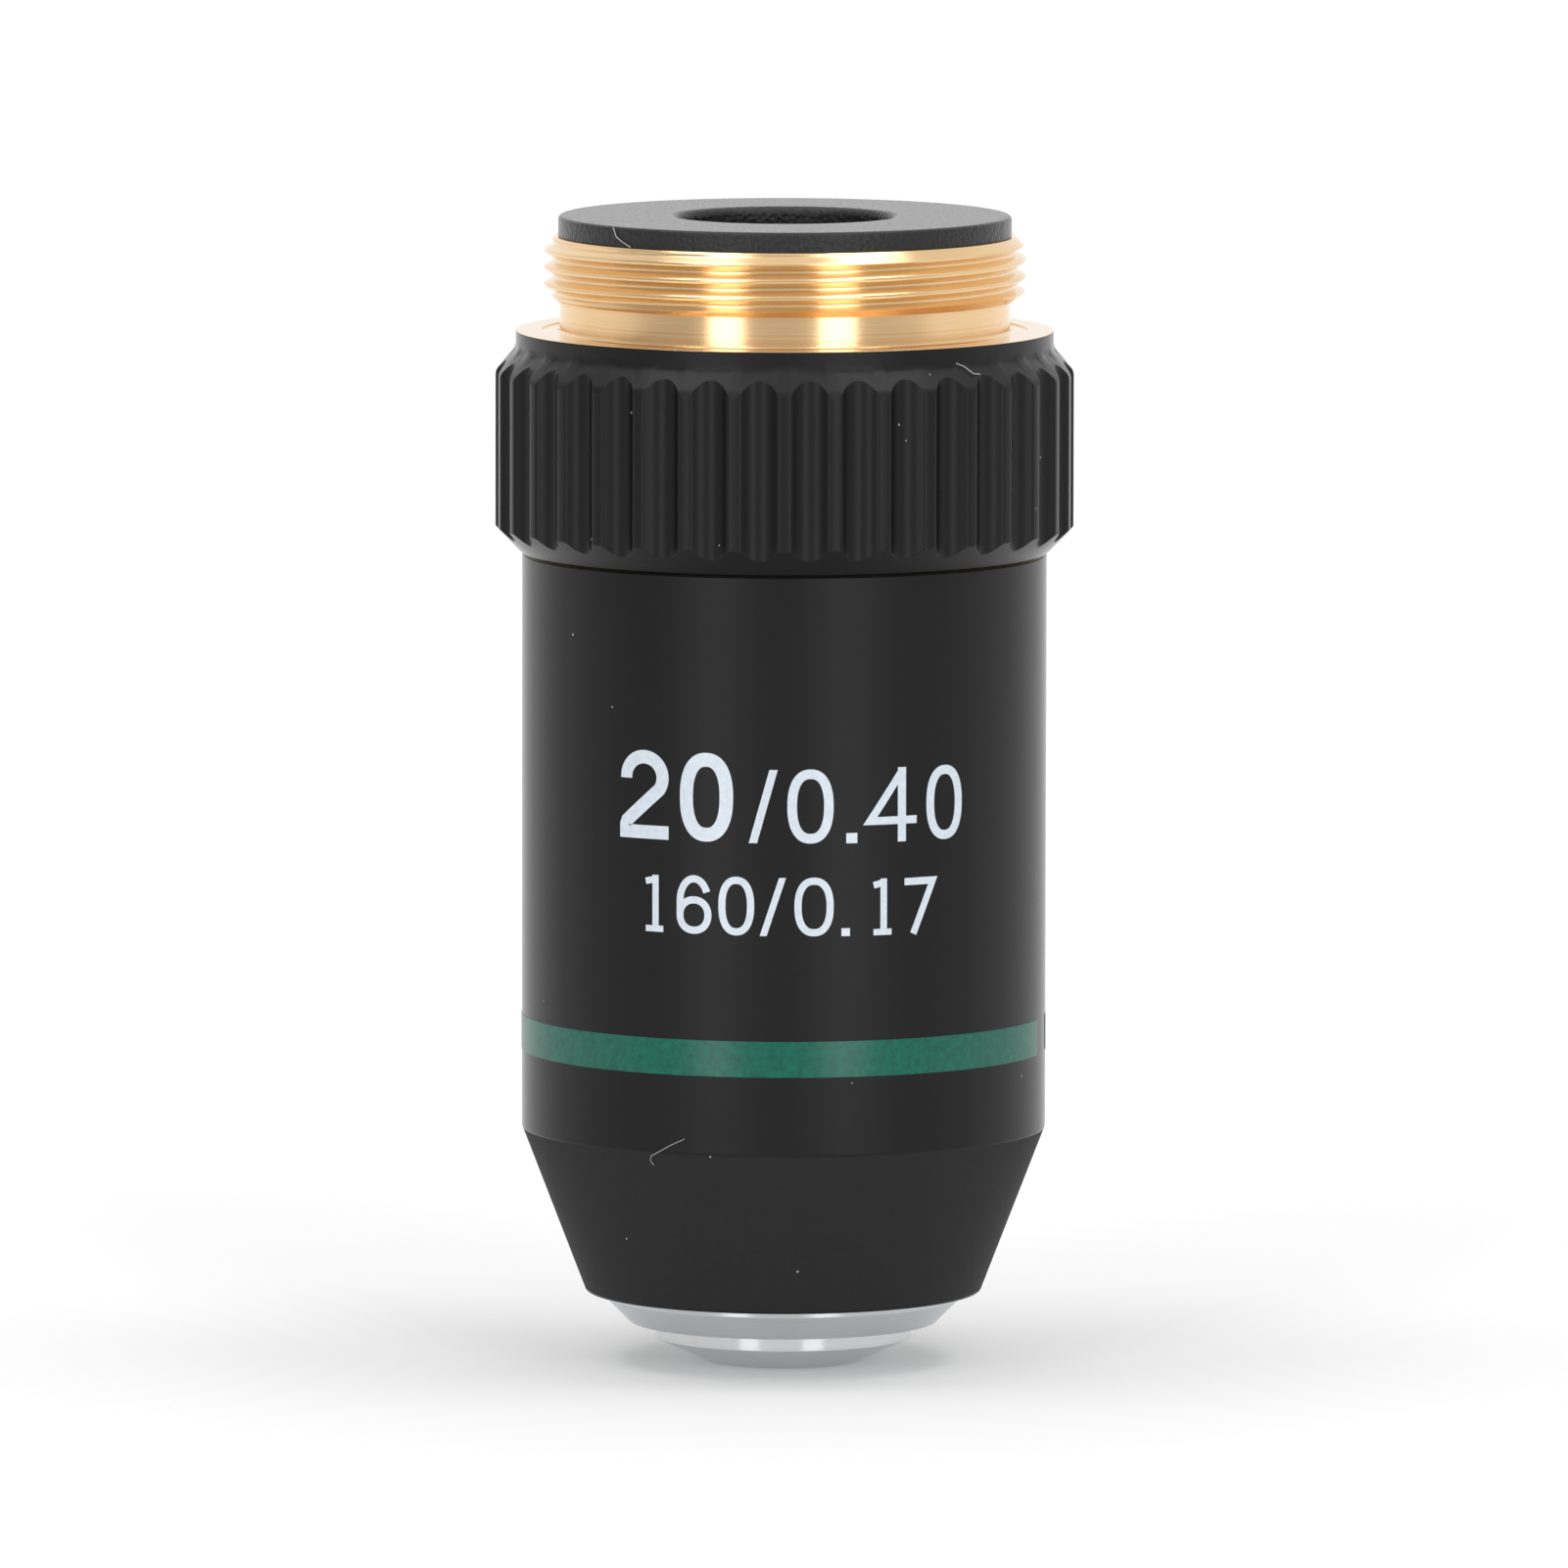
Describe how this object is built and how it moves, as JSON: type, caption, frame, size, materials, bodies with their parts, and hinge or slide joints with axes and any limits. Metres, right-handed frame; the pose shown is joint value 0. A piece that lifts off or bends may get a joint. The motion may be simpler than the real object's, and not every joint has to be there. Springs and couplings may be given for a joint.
{
  "type": "microscope objective",
  "caption": "Dry microscope objective: brass thread and fluted black grip, coated barrel with a green band, and a spring-loaded nickel-plated nose that holds the lenses.",
  "frame": {"origin": "on the optical axis, in the plane of the mount's shoulder face", "axes": "+Z along the optical axis towards the thread and the microscope's nosepiece, front lens towards -Z, figures on the -Y side"},
  "size_m": [0.0242, 0.0242, 0.0483],
  "materials": {
    "bare_brass": "turned brass, black lacquer coat on the grip",
    "black_coat": "satin black coat over turned brass",
    "stop_plastic": "fine-grained black plastic",
    "band_ink": "green enamel ink",
    "nickel": "satin nickel plate over turned brass",
    "steel": "spring steel",
    "black_aluminium": "black anodised aluminium",
    "optical_glass": "polished and coated optical glass"
  },
  "bodies": {
    "root": {"mount_collar": "bare_brass", "rear_stop": "stop_plastic", "outer_barrel": "black_coat", "colour_band": "band_ink", "parfocal_shim": "steel", "spring": "steel"},
    "nose": {"lens_sleeve": "nickel", "guide_pin": "steel", "front_cell": "nickel", "front_lens": "optical_glass", "front_spacer": "black_aluminium", "middle_cell": "black_aluminium", "middle_doublet": "optical_glass", "middle_lens_ring": "black_aluminium", "rear_spacer": "black_aluminium", "rear_cell": "black_aluminium", "rear_doublet": "optical_glass", "rear_lens_ring": "black_aluminium", "aperture_stop": "black_aluminium", "retaining_ring": "black_aluminium"}
  },
  "joints": [
    {"name": "nose_retract", "type": "slide", "parent": "root", "child": "nose", "axis": [0, 0, 1], "range_m": [0, 0.002], "stiffness_N_per_m": 250, "springref_m": -0.004, "deforming": ["spring"]}
  ]
}
